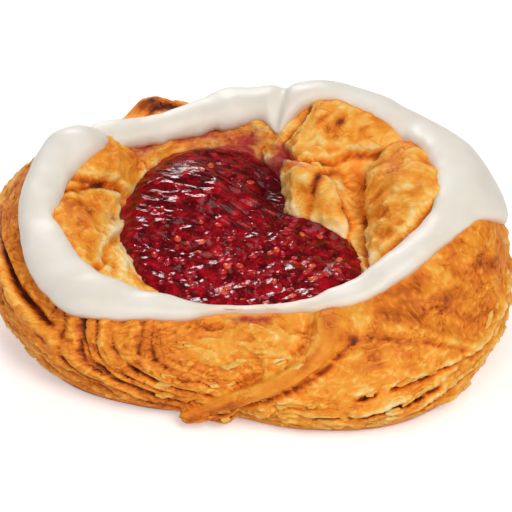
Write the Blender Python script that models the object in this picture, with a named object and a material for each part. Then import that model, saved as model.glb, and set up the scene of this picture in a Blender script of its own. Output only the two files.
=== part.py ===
"""A raspberry danish: a laminated dough ring with a well, jam in the well and an icing ribbon on the rim.

Blender 4.5, metres, +Z up. The origin is at the centre of the underside, and the front of the pastry faces -Y.
Each piece starts as a primitive whose vertices are then laid on the pastry's own surface: the dough is a ball,
the jam is a flattened ball that fills the well, and the icing is a ring laid along the crest of the rim.
"""

from collections import namedtuple

import bpy
import numpy as np

MM = 0.001
CENTRE = (-1.34, -0.69)  # in mm, the middle of the whole in the plan that the sizes below use

# The dough's section at angles round the pastry, anticlockwise from +X, which is the right-hand end.
# Lengths are in millimetres: the radii of the underside, the belly, the crest of the rim and the foot of the
# well's wall where the jam meets it, and the heights of the last three.
Station = namedtuple("Station", "angle base belly belly_z crest crest_z foot foot_z")
STATIONS = (
    Station(-165, 52.0, 57.0, 12.0, 45.5, 24.0, 27.5, 17.5),
    Station(-143, 50.0, 52.5, 10.0, 42.5, 20.5, 27.5, 17.0),
    Station(-122, 45.0, 47.0, 8.5, 35.5, 19.5, 27.5, 16.5),
    Station(-100, 41.5, 43.5, 8.0, 31.5, 19.5, 26.0, 16.0),
    Station(-78, 46.5, 48.0, 8.0, 31.0, 19.5, 25.5, 16.0),
    Station(-55, 52.5, 54.5, 9.0, 33.0, 21.5, 26.5, 16.5),
    Station(-30, 53.5, 56.0, 10.5, 37.0, 24.5, 25.5, 16.5),
    Station(-5, 50.5, 55.0, 13.0, 42.5, 27.0, 19.5, 17.0),
    Station(20, 48.0, 53.0, 15.0, 42.5, 28.5, 12.0, 18.5),
    Station(48, 46.0, 49.0, 15.0, 39.5, 29.5, 9.5, 19.5),
    Station(72, 44.0, 46.5, 16.0, 36.5, 29.5, 17.0, 20.5),
    Station(95, 44.0, 46.5, 16.0, 35.0, 28.0, 27.0, 21.5),
    Station(125, 46.5, 49.5, 17.5, 37.0, 25.5, 30.5, 22.0),
    Station(158, 51.5, 56.5, 15.5, 43.5, 27.5, 30.0, 19.5),
)
FLOOR_Z = 8.0  # the well's floor, under the jam
SINK = 1.0  # how far the jam's edge lies under the top of the well's wall

# The jam's surface rises from its edge to a middle level, with a heap on it towards the left.
JAM_MIDDLE_Z = 17.0
HEAP_X = -10.0
HEAP_Y = 8.0
HEAP_SPREAD = 14.5
HEAP_RISE = 2.2

# Folds on the top of the dough: a smooth swelling, or with a negative lift a hollow, at each place in plan.
Fold = namedtuple("Fold", "x y length width turn lift")
FOLDS = (
    Fold(11, 9, 11.0, 7.0, 125, 6.0),  # the tongue that leans over the jam
    Fold(22, 6, 13.0, 4.5, 95, -4.5),  # the valley behind the tongue
    Fold(33, 4, 9.0, 6.5, 100, 3.0),  # the right-hand lump
    Fold(18, 26, 11.0, 6.5, 150, 3.0),  # the peaked lump at the back
    Fold(27, 17, 7.0, 3.0, 35, -2.5),  # the crease between those two lumps
    Fold(-33, 14, 7.0, 6.0, 120, 2.5),  # the upper flap on the left
    Fold(-33, 4, 8.0, 2.5, 10, -1.8),  # the crease under that flap
    Fold(-34, -6, 7.0, 7.0, 90, 1.8),  # the lower flap on the left
    Fold(-25, 39, 6.0, 4.0, 35, 5.0),  # the lobe that stands up behind the icing
)

# Folds of the outer wall, which swell outwards round a line that climbs by slope mm in each degree.
Swell = namedtuple("Swell", "angle z half_angle half_height slope out")
SWELLS = (
    Swell(-84, 12.5, 20.0, 2.0, 0.38, 1.3),  # the smooth band rolled down across the front
    Swell(-103, 2.0, 6.0, 2.5, 0.0, 2.4),  # the band's end, squeezed out at the foot
    Swell(-118, 13.0, 15.0, 2.2, -0.25, 0.9),  # the leaves that hang in crescents at the left
    Swell(-150, 13.0, 17.0, 2.0, -0.26, 0.9),  # the lip that runs on round the left-hand end
    Swell(-150, 17.5, 17.0, 1.8, -0.24, -0.8),  # the crack over that lip
    Swell(-48, 18.0, 15.0, 2.4, -0.25, 1.1),  # the shelf at the right
    Swell(-50, 9.5, 14.0, 1.8, -0.05, -0.9),  # the crack under it
    Swell(-52, 4.0, 20.0, 2.4, 0.0, 0.8),  # the lowest lip
    Swell(40, 10.0, 30.0, 3.0, 0.10, 1.0),  # the outermost turn, seen from behind
    Swell(40, 16.0, 26.0, 2.0, 0.10, -0.8),
    Swell(130, 9.0, 28.0, 3.0, -0.12, 1.0),
    Swell(130, 15.0, 24.0, 2.0, -0.12, -0.8),
)

# The icing ribbon's edges, as distances in mm over the dough from the crest, and its thickness.
Ribbon = namedtuple("Ribbon", "angle outside inside thick")
RIBBON = (
    Ribbon(-170, 5.0, 4.0, 3.4),
    Ribbon(-145, 6.0, 6.0, 3.2),
    Ribbon(-122, 3.2, 4.2, 2.8),
    Ribbon(-100, 2.0, 2.4, 2.0),
    Ribbon(-80, 1.8, 2.2, 2.0),
    Ribbon(-60, 3.0, 3.0, 2.4),
    Ribbon(-35, 3.2, 4.5, 3.0),
    Ribbon(-10, 3.4, 5.0, 3.2),
    Ribbon(15, 7.0, 5.0, 3.4),
    Ribbon(40, 5.5, 3.5, 3.4),
    Ribbon(65, 5.0, 3.5, 3.2),
    Ribbon(90, 4.5, 5.0, 3.2),
    Ribbon(125, 2.6, 5.0, 3.2),
    Ribbon(160, 5.0, 4.5, 3.6),
)
# Where the ribbon runs down: angle, angular half-width in degrees, added length in mm.
DRIPS_OUTSIDE = ((6, 12, 10.0), (60, 10, 5.0), (98, 9, 3.0))
DRIPS_INSIDE = ((79, 9, 5.0), (155, 8, 1.5), (-20, 9, 1.5))

GAP = 0.3  # left between pieces that touch
COLUMNS = 80  # round the pastry, the same in every piece, so that their facets match

# Rows of the dough between the key points of its section, from the underside's centre to the well's.
SECTION_ROWS = (1, 3, 2, 5, 4, 4, 4, 5, 2, 1, 2)
BASE_ROW = sum(SECTION_ROWS[:3])
BELLY_ROW = sum(SECTION_ROWS[:4])
CREST_ROW = sum(SECTION_ROWS[:6])
FOOT_ROW = sum(SECTION_ROWS[:8])
LAST_ROW = sum(SECTION_ROWS)
JAM_TOP_ROWS = 6
RIBBON_SEGMENTS = 16

CRUST = ("golden_crust", (0.62, 0.30, 0.08, 1.0), 0.6)
JAM = ("raspberry_jam", (0.30, 0.004, 0.010, 1.0), 0.15)
ICING = ("sugar_icing", (0.86, 0.83, 0.78, 1.0), 0.35)


# ---- curves -----------------------------------------------------------------------------------------------


def catmull_rom(before, start, end, after, t):
    """A smooth value between start and end, which also heeds the two values beyond them."""
    return 0.5 * (
        2 * start
        + (end - before) * t
        + (2 * before - 5 * start + 4 * end - after) * t**2
        + (3 * start - 3 * end + after - before) * t**3
    )


def around(table, name, angle):
    """One column of a table of stations at these angles, joined by one closed smooth curve."""
    stations = np.array([row.angle for row in table], float)
    values = np.array([getattr(row, name) for row in table], float)
    turned = np.mod(angle - stations[0], 360.0) + stations[0]
    at = np.searchsorted(stations, turned, side="right") - 1
    ends = np.append(stations, stations[0] + 360.0)
    share = (turned - ends[at]) / (ends[at + 1] - ends[at])
    beyond = [values[(at + step) % len(values)] for step in (-1, 0, 1, 2)]
    return catmull_rom(*beyond, share)


def smooth_step(x):
    x = np.clip(x, 0.0, 1.0)
    return x * x * (3 - 2 * x)


def drip(angle, drips):
    """The length that these drips add at each angle."""
    off = [(np.mod(angle - centre + 180.0, 360.0) - 180.0) / half for centre, half, _ in drips]
    return sum(length * np.exp(-(x**2)) for x, (_, _, length) in zip(off, drips))


# ---- the dough's surface ----------------------------------------------------------------------------------


def section_points(angle):
    """The section's key points (radius, height) at each angle, from the underside over the crest to the well."""
    base, belly, belly_z, crest, crest_z, foot, foot_z = (
        around(STATIONS, name, angle) for name in Station._fields[1:]
    )
    zero = np.zeros_like(angle)
    return np.array(
        [
            (zero, zero),
            (base * 0.5, zero),
            (base - 4.0, zero),
            (base, zero + 1.6),
            (belly, belly_z),
            (crest + 0.55 * (belly - crest), belly_z + 0.78 * (crest_z - belly_z)),
            (crest, crest_z),
            (foot + 0.5 * (crest - foot), foot_z + 0.55 * (crest_z - foot_z)),
            (foot, foot_z - SINK),
            (foot * 0.8, zero + FLOOR_Z + 1.5),
            (foot * 0.4, zero + FLOOR_Z),
            (zero, zero + FLOOR_Z),
        ]
    )


def folds(x, y):
    """The lift of the folds at these places in plan."""
    lift = np.zeros_like(x)
    for fold in FOLDS:
        turn = np.radians(fold.turn)
        along = (x - fold.x) * np.cos(turn) + (y - fold.y) * np.sin(turn)
        across = (y - fold.y) * np.cos(turn) - (x - fold.x) * np.sin(turn)
        lift += fold.lift * np.exp(-((along / fold.length) ** 2) - (across / fold.width) ** 2)
    return lift


def swells(angle, z):
    """How far the wall's folds swell outwards at these angles and heights."""
    out = np.zeros_like(z)
    for swell in SWELLS:
        turn = np.mod(angle - swell.angle + 180.0, 360.0) - 180.0
        above = z - swell.z - swell.slope * turn
        out += swell.out * np.exp(-((turn / swell.half_angle) ** 4) - (above / swell.half_height) ** 2)
    return out


def dough_surface(angle, row):
    """Points in mm on the dough's surface at these angles and rows. Rows may be fractions."""
    key = section_points(angle)
    starts = np.cumsum((0,) + SECTION_ROWS)
    stretch = np.clip(np.searchsorted(starts, row, side="right") - 1, 0, len(SECTION_ROWS) - 1)
    t = (row - starts[stretch]) / (starts[stretch + 1] - starts[stretch])
    column = np.arange(len(angle))
    wanted = [np.clip(stretch + step, 0, len(SECTION_ROWS)) for step in (-1, 0, 1, 2)]
    r, z = catmull_rom(*(key[at, :, column] for at in wanted), t[:, None]).T
    wall = smooth_step((row - BASE_ROW + 1) / 2) * smooth_step((CREST_ROW - row) / 4)
    r = r + wall * swells(angle, z)
    x, y = r * np.cos(np.radians(angle)), r * np.sin(np.radians(angle))
    top = smooth_step((row - BELLY_ROW) / 5) * smooth_step((FOOT_ROW - row) / 2)
    z = z + top * folds(x, y)
    return np.stack([x, y, np.maximum(z, 0.0)], axis=1)


def dough_normal(angle, row):
    """The direction out of the dough at these angles and rows."""
    step_angle, step_row = 1.0, 0.25
    round_it = dough_surface(angle + step_angle, row) - dough_surface(angle - step_angle, row)
    up_it = dough_surface(angle, row + step_row) - dough_surface(angle, row - step_row)
    normal = np.cross(round_it, up_it)
    return normal / np.linalg.norm(normal, axis=1, keepdims=True)


def rows_at(angle, distance):
    """The rows that lie this far over the dough from the crest, inwards where it is positive."""
    rows = np.linspace(CREST_ROW - 9.0, FOOT_ROW, 160)
    crest = np.argmin(abs(rows - CREST_ROW))
    found = np.empty_like(angle)
    for one in np.unique(angle):
        line = dough_surface(np.full(len(rows), one), rows)
        length = np.append(0.0, np.cumsum(np.linalg.norm(np.diff(line, axis=0), axis=1)))
        here = angle == one
        found[here] = np.interp(distance[here], length - length[crest], rows)
    return found


# ---- pieces -----------------------------------------------------------------------------------------------


def finish(piece, name, look, points):
    """Moves the primitive's vertices to these points in mm, and names, shades and colours it."""
    piece.name = piece.data.name = name
    piece.data.vertices.foreach_set("co", ((points - (*CENTRE, 0.0)) * MM).ravel())
    piece.data.update()
    piece.data.shade_smooth()
    slot, colour, roughness = look
    material = bpy.data.materials.new(slot)
    material.use_nodes = True
    shader = material.node_tree.nodes["Principled BSDF"]
    shader.inputs["Base Color"].default_value = colour
    shader.inputs["Roughness"].default_value = roughness
    piece.data.materials.append(material)


def ball(rows):
    """A UV sphere and, for each vertex, its angle and its row counted from the bottom pole."""
    bpy.ops.mesh.primitive_uv_sphere_add(segments=COLUMNS, ring_count=rows, radius=1.0)
    piece = bpy.context.object
    co = np.array([vertex.co for vertex in piece.data.vertices])
    latitude = np.degrees(np.arcsin(np.clip(co[:, 2], -1.0, 1.0)))
    row = np.round((latitude + 90.0) / 180.0 * rows)
    angle = np.degrees(np.arctan2(co[:, 1], co[:, 0]))
    return piece, np.round(angle / (360.0 / COLUMNS)) * (360.0 / COLUMNS), row


def make_dough():
    piece, angle, row = ball(LAST_ROW)
    finish(piece, "dough", CRUST, dough_surface(angle, row))


def jam_top(angle, share):
    """Points on the jam's surface, from the wall at share 0 to the middle of the well at share 1."""
    foot = around(STATIONS, "foot", angle) - GAP
    edge_z = around(STATIONS, "foot_z", angle) - SINK
    r = foot * (1.0 - share)
    x, y = r * np.cos(np.radians(angle)), r * np.sin(np.radians(angle))
    heap = HEAP_RISE * np.exp(-((x - HEAP_X) ** 2 + (y - HEAP_Y) ** 2) / HEAP_SPREAD**2)
    z = edge_z + (JAM_MIDDLE_Z - edge_z) * smooth_step(share) + heap * smooth_step(share * 3)
    return np.stack([x, y, z], axis=1)


def make_jam():
    below = LAST_ROW - FOOT_ROW
    piece, angle, row = ball(below + JAM_TOP_ROWS)
    under = row <= below
    dough_row = LAST_ROW - row
    points = jam_top(angle, (row - below) / JAM_TOP_ROWS)
    bed = dough_surface(angle, dough_row) + GAP * dough_normal(angle, np.minimum(dough_row, LAST_ROW - 0.3))
    bed[row == 0] = (0.0, 0.0, FLOOR_Z + GAP)
    points[under] = bed[under]
    finish(piece, "jam", JAM, points)


def make_icing():
    tube = 0.25
    bpy.ops.mesh.primitive_torus_add(
        major_segments=COLUMNS, minor_segments=RIBBON_SEGMENTS, major_radius=1.0, minor_radius=tube
    )
    piece = bpy.context.object
    co = np.array([vertex.co for vertex in piece.data.vertices])
    angle = np.degrees(np.arctan2(co[:, 1], co[:, 0]))
    angle = np.round(angle / (360.0 / COLUMNS)) * (360.0 / COLUMNS)
    across = np.clip((1.0 - np.hypot(co[:, 0], co[:, 1])) / tube, -1.0, 1.0)
    across = np.arcsin(across) / (np.pi / 2)
    top = co[:, 2] > 1e-6
    outside = around(RIBBON, "outside", angle) + drip(angle, DRIPS_OUTSIDE)
    inside = around(RIBBON, "inside", angle) + drip(angle, DRIPS_INSIDE)
    row = rows_at(angle, np.where(across > 0, inside, outside) * across)
    thick = around(RIBBON, "thick", angle) * np.sqrt(np.clip(1.0 - across**2, 0.0, 1.0))
    height = GAP + np.where(top, thick, 0.0)
    finish(piece, "icing", ICING, dough_surface(angle, row) + height[:, None] * dough_normal(angle, row))


for old in list(bpy.data.objects):
    bpy.data.objects.remove(old)
pastry = bpy.data.collections.new("raspberry_danish")
bpy.context.scene.collection.children.link(pastry)
layers = bpy.context.view_layer
layers.active_layer_collection = layers.layer_collection.children[pastry.name]
make_dough()
make_jam()
make_icing()
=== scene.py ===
"""The looks of a raspberry danish: flaky golden dough, wet seeded jam and a ribbon of set sugar icing.

Lengths inside the functions are in millimetres, in the plan that the pastry's own sizes use, and angles go
anticlockwise round it from its right-hand end. The front faces -Y.
"""

import itertools
import math
from collections import namedtuple

import bmesh
import bpy
import numpy as np
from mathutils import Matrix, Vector


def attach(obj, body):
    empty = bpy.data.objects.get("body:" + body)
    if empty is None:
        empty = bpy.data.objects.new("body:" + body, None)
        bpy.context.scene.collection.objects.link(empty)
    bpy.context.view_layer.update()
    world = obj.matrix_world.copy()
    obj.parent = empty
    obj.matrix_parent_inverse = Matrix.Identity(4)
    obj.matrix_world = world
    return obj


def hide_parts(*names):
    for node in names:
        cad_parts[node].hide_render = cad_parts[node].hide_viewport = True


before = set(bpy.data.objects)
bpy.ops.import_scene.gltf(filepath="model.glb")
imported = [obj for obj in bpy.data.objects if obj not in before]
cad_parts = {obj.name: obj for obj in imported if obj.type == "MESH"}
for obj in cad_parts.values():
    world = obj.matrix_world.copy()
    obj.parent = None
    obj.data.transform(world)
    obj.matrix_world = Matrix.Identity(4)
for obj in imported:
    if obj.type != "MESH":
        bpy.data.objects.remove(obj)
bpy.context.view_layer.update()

MM = 0.001
CENTRE = (-1.34, -0.69)  # in mm, the middle of the whole in the plan that the sizes below use


# ---- the pastry's own sizes -------------------------------------------------------------------------------
# The solids have the same sizes, save that the icing here is thinner in front and its edge runs a little more.

Station = namedtuple("Station", "angle base belly belly_z crest crest_z foot foot_z")
STATIONS = (
    Station(-165, 52.0, 57.0, 12.0, 45.5, 24.0, 27.5, 17.5),
    Station(-143, 50.0, 52.5, 10.0, 42.5, 20.5, 27.5, 17.0),
    Station(-122, 45.0, 47.0, 8.5, 35.5, 19.5, 27.5, 16.5),
    Station(-100, 41.5, 43.5, 8.0, 31.5, 19.5, 26.0, 16.0),
    Station(-78, 46.5, 48.0, 8.0, 31.0, 19.5, 25.5, 16.0),
    Station(-55, 52.5, 54.5, 9.0, 33.0, 21.5, 26.5, 16.5),
    Station(-30, 53.5, 56.0, 10.5, 37.0, 24.5, 25.5, 16.5),
    Station(-5, 50.5, 55.0, 13.0, 42.5, 27.0, 19.5, 17.0),
    Station(20, 48.0, 53.0, 15.0, 42.5, 28.5, 12.0, 18.5),
    Station(48, 46.0, 49.0, 15.0, 39.5, 29.5, 9.5, 19.5),
    Station(72, 44.0, 46.5, 16.0, 36.5, 29.5, 17.0, 20.5),
    Station(95, 44.0, 46.5, 16.0, 35.0, 28.0, 27.0, 21.5),
    Station(125, 46.5, 49.5, 17.5, 37.0, 25.5, 30.5, 22.0),
    Station(158, 51.5, 56.5, 15.5, 43.5, 27.5, 30.0, 19.5),
)
FLOOR_Z = 8.0
SINK = 1.0
JAM_MIDDLE_Z = 17.0
JAM_GRAIN = math.radians(-24)  # the way the jam's ripples run

# Key places along the dough's section, from the underside's centre (0) over the rim to the well's centre.
BASE, BELLY, CREST, FOOT, LAST = 3, 4, 6, 8, 11

Fold = namedtuple("Fold", "x y length width turn lift")
FOLDS = (
    Fold(11, 9, 11.0, 7.0, 125, 6.0),  # the tongue that leans over the jam
    Fold(22, 6, 13.0, 4.5, 95, -4.5),  # the valley behind the tongue
    Fold(33, 4, 9.0, 6.5, 100, 3.0),  # the right-hand lump
    Fold(18, 26, 11.0, 6.5, 150, 3.0),  # the peaked lump at the back
    Fold(27, 17, 7.0, 3.0, 35, -2.5),  # the crease between those two lumps
    Fold(-33, 14, 7.0, 6.0, 120, 2.5),  # the upper flap on the left
    Fold(-33, 4, 8.0, 2.5, 10, -1.8),  # the crease under that flap
    Fold(-34, -6, 7.0, 7.0, 90, 1.8),  # the lower flap on the left
    Fold(-25, 39, 6.0, 4.0, 35, 5.0),  # the lobe that stands up behind the icing
)

Swell = namedtuple("Swell", "angle z half_angle half_height slope out")
SWELLS = (
    Swell(-84, 12.5, 20.0, 2.0, 0.38, 1.3),  # the smooth band rolled down across the front
    Swell(-103, 2.0, 6.0, 2.5, 0.0, 2.4),  # the band's end, squeezed out at the foot
    Swell(-118, 13.0, 15.0, 2.2, -0.25, 0.9),  # the leaves that hang in crescents at the left
    Swell(-150, 13.0, 17.0, 2.0, -0.26, 0.9),  # the lip that runs on round the left-hand end
    Swell(-150, 17.5, 17.0, 1.8, -0.24, -0.8),  # the crack over that lip
    Swell(-48, 18.0, 15.0, 2.4, -0.25, 1.1),  # the shelf at the right
    Swell(-50, 9.5, 14.0, 1.8, -0.05, -0.9),  # the crack under it
    Swell(-52, 4.0, 20.0, 2.4, 0.0, 0.8),  # the lowest lip
    Swell(40, 10.0, 30.0, 3.0, 0.10, 1.0),  # the outermost turn, seen from behind
    Swell(40, 16.0, 26.0, 2.0, 0.10, -0.8),
    Swell(130, 9.0, 28.0, 3.0, -0.12, 1.0),
    Swell(130, 15.0, 24.0, 2.0, -0.12, -0.8),
)

Ribbon = namedtuple("Ribbon", "angle outside inside thick")
RIBBON = (
    Ribbon(-170, 5.0, 4.0, 3.4),
    Ribbon(-145, 6.0, 6.0, 3.2),
    Ribbon(-122, 3.2, 4.2, 2.8),
    Ribbon(-100, 0.3, 2.6, 2.0),
    Ribbon(-80, 0.0, 2.4, 1.9),
    Ribbon(-60, 3.0, 3.0, 2.4),
    Ribbon(-35, 3.2, 4.5, 3.0),
    Ribbon(-10, 3.4, 5.0, 3.2),
    Ribbon(15, 7.0, 5.0, 3.4),
    Ribbon(40, 5.5, 3.5, 3.4),
    Ribbon(65, 5.0, 3.5, 3.2),
    Ribbon(90, 4.5, 5.0, 3.2),
    Ribbon(125, 2.6, 5.0, 3.2),
    Ribbon(160, 5.0, 4.5, 3.6),
)
# Where the icing runs further: angle, half angle and length. Where the length is below 0 it draws back.
DRIPS_OUTSIDE = ((5, 10, 10.0), (60, 8, 5.0), (98, 8, 3.0))
DRIPS_INSIDE = (
    (79, 6, 5.5), (155, 8, 1.5), (-20, 9, 1.5),
    (-173, 4, -1.4), (-138, 7, 1.2), (150, 3, -1.0),
)


# ---- curves and noise -------------------------------------------------------------------------------------

# The slopes that noise takes at the corners of its cells: the twelve edges of a cube.
DIRECTIONS = np.array(
    [way for way in itertools.product((-1, 0, 1), repeat=3) if np.abs(way).sum() == 2], float
)
# Large odd numbers that mix the place of a cell into one key.
MIXERS = (73856093, 19349663, 83492791)
LAST_MIXER = 1274126177


def catmull_rom(before, start, end, after, t):
    """A smooth value between start and end, which also heeds the two values beyond them."""
    return 0.5 * (
        2 * start
        + (end - before) * t
        + (2 * before - 5 * start + 4 * end - after) * t**2
        + (3 * start - 3 * end + after - before) * t**3
    )


def around(table, name, angle):
    """One column of a table of stations at these angles, joined by one closed smooth curve."""
    stations = np.array([row.angle for row in table], float)
    values = np.array([getattr(row, name) for row in table], float)
    turned = np.mod(angle - stations[0], 360.0) + stations[0]
    at = np.searchsorted(stations, turned, side="right") - 1
    ends = np.append(stations, stations[0] + 360.0)
    share = (turned - ends[at]) / (ends[at + 1] - ends[at])
    beyond = [values[(at + step) % len(values)] for step in (-1, 0, 1, 2)]
    return catmull_rom(*beyond, share)


def smooth_step(x):
    x = np.clip(x, 0.0, 1.0)
    return x * x * (3 - 2 * x)


def bell(x, half):
    """1 at x = 0, falling smoothly to nearly 0 at twice this half-width."""
    return np.exp(-((x / half) ** 2))


def turn_from(angle, centre):
    """The signed angle from this centre, the short way round."""
    return np.mod(angle - centre + 180.0, 360.0) - 180.0


def drip(angle, drips):
    """The length that these drips add at each angle, or the thickness that pours add."""
    return sum(length * bell(turn_from(angle, centre), half) for centre, half, length in drips)


def gradient_noise(points):
    """Smooth noise of about -1 to 1, with one feature for each unit of space."""
    cell = np.floor(points).astype(np.int64)
    inside = points - cell
    ease = inside**3 * (inside * (inside * 6 - 15) + 10)
    total = np.zeros(points.shape[:-1])
    for corner in itertools.product((0, 1), repeat=3):
        key = ((cell + corner) * MIXERS).sum(axis=-1)
        key = (key ^ (key >> 13)) * LAST_MIXER
        way = DIRECTIONS[(key ^ (key >> 16)) % len(DIRECTIONS)]
        near = np.where(corner, ease, 1.0 - ease).prod(axis=-1)
        total += near * (way * (inside - corner)).sum(axis=-1)
    return total


def fractal(points, size, octaves, seed):
    """Layers of smooth noise at these points, of about -1 to 1, with features of this size in mm."""
    scaled = points / size + (seed * 7.31, seed * 3.17, seed * 5.73)
    return sum(gradient_noise(scaled * 2**octave + octave * 11.7) / 2**octave for octave in range(octaves))


def ridged(points, size, octaves, seed):
    """Noise of about 0 to 1 with sharp crests, with features of this size in mm."""
    return 1.0 - np.abs(fractal(points, size, octaves, seed)) * 2.2


# ---- the dough's surface ----------------------------------------------------------------------------------


def section_points(angle):
    """The section's key points (radius, height) at each angle."""
    base, belly, belly_z, crest, crest_z, foot, foot_z = (
        around(STATIONS, name, angle) for name in Station._fields[1:]
    )
    zero = np.zeros_like(angle)
    return np.array(
        [
            (zero, zero),
            (base * 0.5, zero),
            (base - 4.0, zero),
            (base, zero + 1.6),
            (belly, belly_z),
            (crest + 0.55 * (belly - crest), belly_z + 0.78 * (crest_z - belly_z)),
            (crest, crest_z),
            (foot + 0.5 * (crest - foot), foot_z + 0.55 * (crest_z - foot_z)),
            (foot, foot_z - SINK),
            (foot * 0.8, zero + FLOOR_Z + 1.5),
            (foot * 0.4, zero + FLOOR_Z),
            (zero, zero + FLOOR_Z),
        ]
    )


def folds(x, y):
    """The lift of the folds on the dough's top at these places in plan."""
    lift = np.zeros_like(x)
    for fold in FOLDS:
        lift += fold.lift * oval(x, y, fold)
    return lift


def oval(x, y, mark):
    """1 in the middle of a turned oval in plan, falling smoothly to 0 round it."""
    turn = math.radians(mark.turn)
    along = (x - mark.x) * math.cos(turn) + (y - mark.y) * math.sin(turn)
    across = (y - mark.y) * math.cos(turn) - (x - mark.x) * math.sin(turn)
    return bell(along, mark.length) * bell(across, mark.width)


def swells(angle, z):
    """How far the wall's folds swell outwards at these angles and heights."""
    out = np.zeros_like(z)
    for swell in SWELLS:
        turn = turn_from(angle, swell.angle)
        above = z - swell.z - swell.slope * turn
        out += swell.out * np.exp(-((turn / swell.half_angle) ** 4)) * bell(above, swell.half_height)
    return out


def dough_surface(angle, key):
    """Points on the dough at these angles (one for each column) and key places (one for each row)."""
    sections = section_points(angle)
    key = np.broadcast_to(key[:, None], (len(key), len(angle)))
    stretch = np.clip(key.astype(int), 0, LAST - 1)
    column = np.arange(len(angle))[None, :]
    wanted = [sections[np.clip(stretch + step, 0, LAST), :, column] for step in (-1, 0, 1, 2)]
    r, z = np.moveaxis(catmull_rom(*wanted, (key - stretch)[..., None]), -1, 0)
    wall = smooth_step((key - BASE + 0.5) / 0.7) * smooth_step(CREST - key)
    r = r + wall * swells(angle[None, :], z)
    x, y = r * np.cos(np.radians(angle)), r * np.sin(np.radians(angle))
    top = smooth_step((key - BELLY) / 1.25) * smooth_step((FOOT - key) / 0.4)
    return np.stack([x, y, np.maximum(z + top * folds(x, y), 0.0)], axis=-1)


def grid_normals(points):
    """The direction out of a grid of points, whose rows are closed rings that climb from under to over."""
    round_it = np.roll(points, -1, axis=1) - np.roll(points, 1, axis=1)
    up_it = np.gradient(points, axis=0)
    normal = np.cross(round_it, up_it)
    length = np.linalg.norm(normal, axis=-1, keepdims=True)
    normal = normal / np.maximum(length, 1e-9)
    normal[0], normal[-1] = (0.0, 0.0, -1.0), (0.0, 0.0, 1.0)
    return normal


def soften(values, times):
    """The grid of values with its detail rubbed out, to tell ridges from hollows."""
    for _ in range(times):
        values = (np.roll(values, 1, axis=1) + np.roll(values, -1, axis=1) + 2 * values) / 4
        padded = np.concatenate([values[:1], values, values[-1:]])
        values = (padded[:-2] + padded[2:] + 2 * values) / 4
    return values


# ---- mesh making ------------------------------------------------------------------------------------------

WELD = 1e-7  # in metres


def finished(name, bm, material):
    """Turns loose faces into a finished piece that rides on the pastry."""
    bmesh.ops.recalc_face_normals(bm, faces=bm.faces)
    mesh = bpy.data.meshes.new(name)
    bm.to_mesh(mesh)
    bm.free()
    mesh.shade_smooth()
    mesh.materials.append(material)
    piece = bpy.data.objects.new(name, mesh)
    bpy.context.scene.collection.objects.link(piece)
    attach(piece, "root")
    return piece


def to_metres(points):
    """Points in mm of the pastry's plan, as metres round its middle."""
    return (points - (*CENTRE, 0.0)) * MM


def wrapped(name, points, marks, material):
    """A closed piece: a sheet wrapped round the pastry and welded where its ends meet, with painted marks."""
    rows, columns = points.shape[0], points.shape[1] + 1
    bm = bmesh.new()
    bmesh.ops.create_grid(bm, x_segments=columns - 1, y_segments=rows - 1, size=1.0)
    meeting = to_metres(np.concatenate([points, points[:, :1]], axis=1)).reshape(-1, 3)
    for vert, point in zip(bm.verts, meeting):
        vert.co = point
    for mark, values in marks.items():
        values = np.clip(np.broadcast_to(values, (rows, columns - 1)), 0.0, 1.0)
        layer = bm.verts.layers.float.new(mark)
        for vert, value in zip(bm.verts, np.concatenate([values, values[:, :1]], axis=1).ravel()):
            vert[layer] = value
    bmesh.ops.remove_doubles(bm, verts=bm.verts, dist=WELD)
    return finished(name, bm, material)


# ---- materials --------------------------------------------------------------------------------------------


def linear(hex_colour):
    """An sRGB hex colour as linear RGBA."""
    channels = [int(hex_colour[at : at + 2], 16) / 255 for at in (1, 3, 5)]
    return (*[c / 12.92 if c <= 0.04045 else ((c + 0.055) / 1.055) ** 2.4 for c in channels], 1.0)


def add(tree, kind, inputs=None, stops=None, **settings):
    """Adds a node. An input takes a value, a hex colour or another node's output; stops colour a ramp."""
    node = tree.nodes.new("ShaderNode" + kind)
    for name, value in settings.items():
        setattr(node, name, value)
    for name, value in (inputs or {}).items():
        if isinstance(value, bpy.types.NodeSocket):
            tree.links.new(value, node.inputs[name])
        else:
            node.inputs[name].default_value = linear(value) if isinstance(value, str) else value
    for at, (position, colour) in enumerate(stops or ()):
        element = node.color_ramp.elements[at] if at < 2 else node.color_ramp.elements.new(position)
        element.position = position
        element.color = linear(colour)
    return node


def new_material(name, constants):
    """A new material, with these constants on its shader's own sockets."""
    material = bpy.data.materials.new(name)
    material.use_nodes = True
    shader = material.node_tree.nodes["Principled BSDF"]
    for socket, value in constants.items():
        shader.inputs[socket].default_value = linear(value) if isinstance(value, str) else value
    return material, material.node_tree, shader


# How far the dough is baked, from raw crumb (0) over golden leaves (0.4) to scorched edges (1), plus painted shade;
# both ends first.
BAKED_AND_SHADED = (
    (0.0, "#FFE6B4"), (1.0, "#561F04"), (0.2, "#FFCB66"),
    (0.4, "#FCA433"), (0.6, "#E67C1E"), (0.8, "#AC4E0E"),
)


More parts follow.
